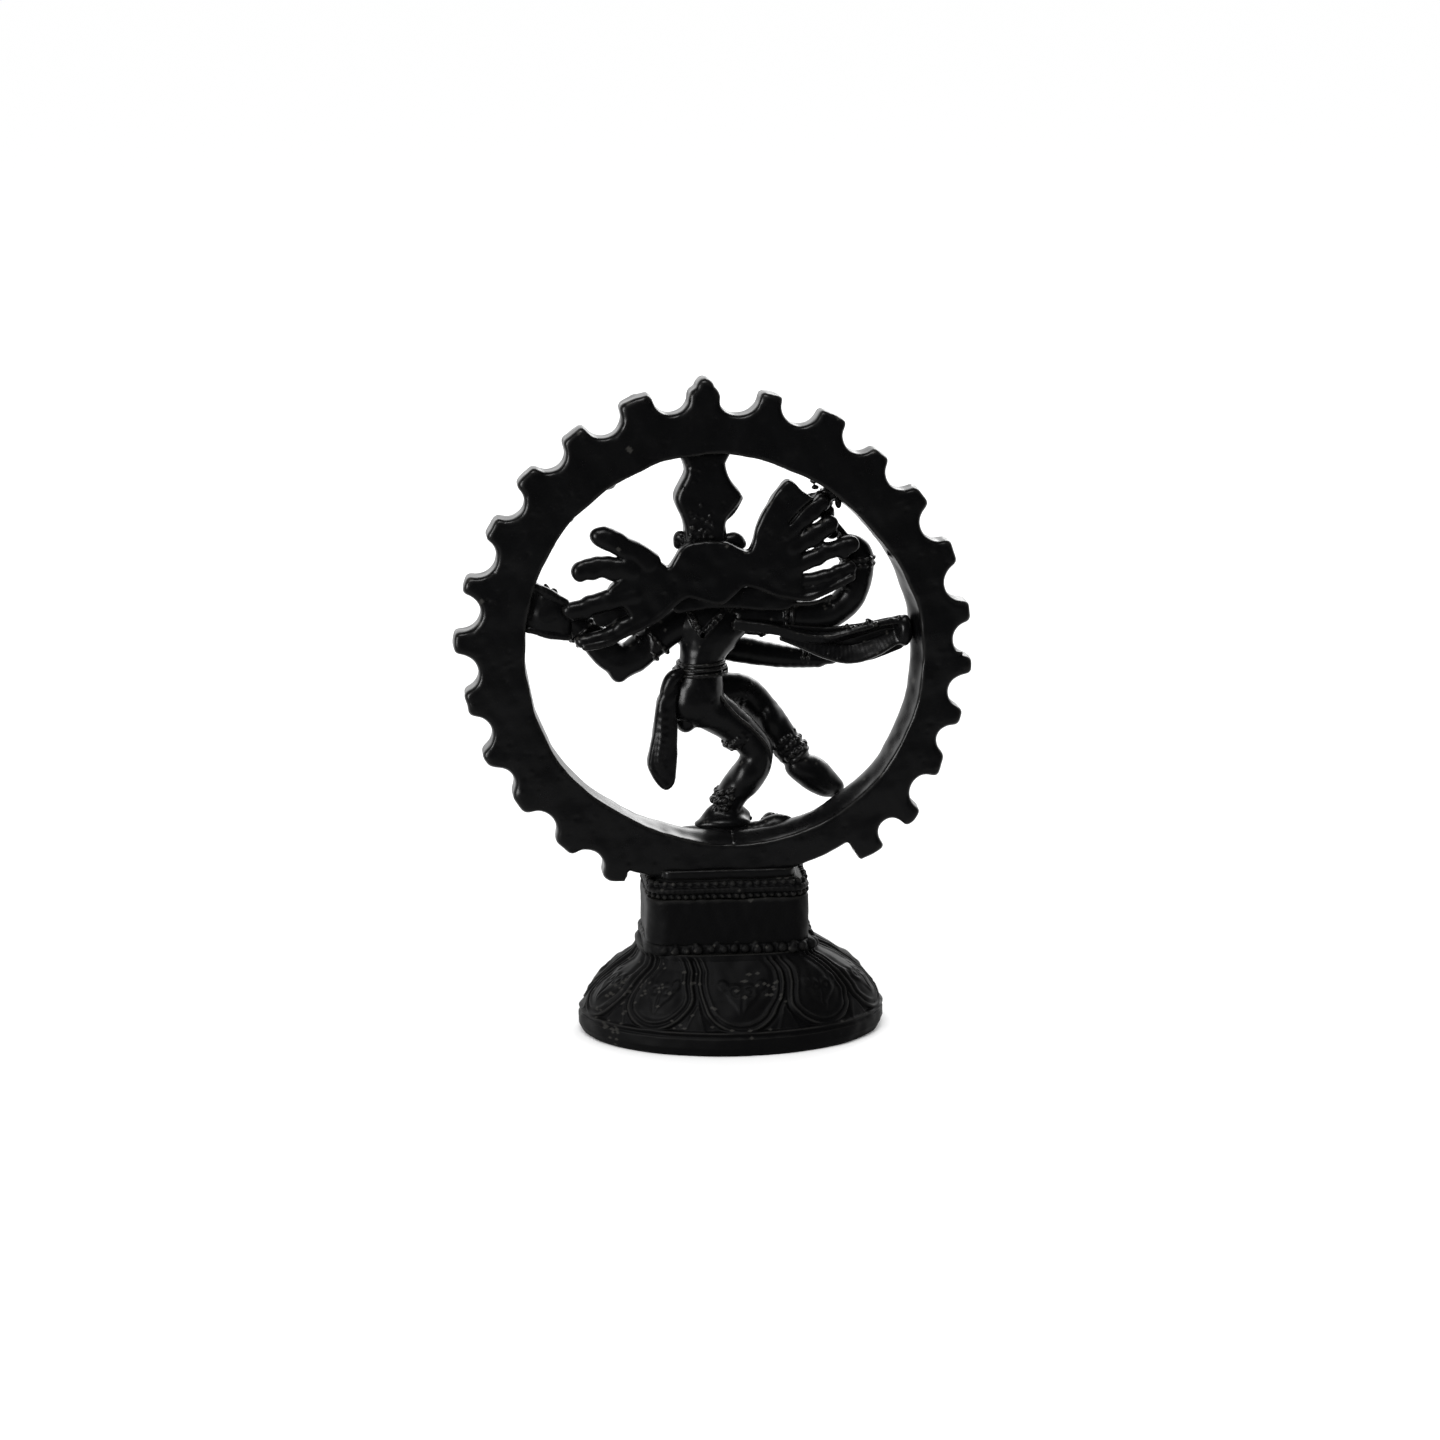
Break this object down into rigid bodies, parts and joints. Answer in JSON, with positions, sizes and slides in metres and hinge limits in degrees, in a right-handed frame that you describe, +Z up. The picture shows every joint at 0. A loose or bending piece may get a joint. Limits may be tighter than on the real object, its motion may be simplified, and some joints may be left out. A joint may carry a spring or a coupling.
{
  "type": "dancing figure statue",
  "caption": "Small cast statue of a four-armed dancer on one leg inside a ring of flame teeth, on a lotus base, blackened all over.",
  "frame": {"origin": "on the table, under the middle of the whole statue's box", "axes": "+Z up; the figure faces -Y and its own left hand is towards +X, so the ring lies in the XZ plane"},
  "size_m": [0.0932, 0.04, 0.1206],
  "materials": {
    "blackened_base": "blackened and lacquered sand-cast brass, semi-gloss, with casting pits",
    "blackened_ring": "blackened and lacquered sand-cast brass, semi-gloss, flat filed back with pits and file marks",
    "blackened_figure": "blackened and lacquered lost-wax brass, semi-gloss, rounded by hand finishing",
    "plain_brass": "plain turned brass, dulled"
  },
  "bodies": {
    "root": {"crown": "blackened_figure", "dwarf": "blackened_figure", "flame_ring": "blackened_ring", "flying_scarf": "blackened_figure", "front_left_arm": "blackened_figure", "front_right_arm": "blackened_figure", "hair_fan": "blackened_figure", "hand_drum": "blackened_figure", "hand_flame": "blackened_figure", "head": "blackened_figure", "lotus_base": "blackened_base", "lower_bead_band": "blackened_base", "plinth_block": "blackened_base", "plinth_cap": "blackened_base", "raised_leg": "blackened_figure", "rear_left_arm": "blackened_figure", "rear_right_arm": "blackened_figure", "standing_leg": "blackened_figure", "tie_nut": "plain_brass", "tie_stud": "plain_brass", "tie_washer": "plain_brass", "torso": "blackened_figure", "upper_bead_band": "blackened_base", "waist_belt": "blackened_figure", "waist_sash": "blackened_figure"}
  },
  "joints": []
}
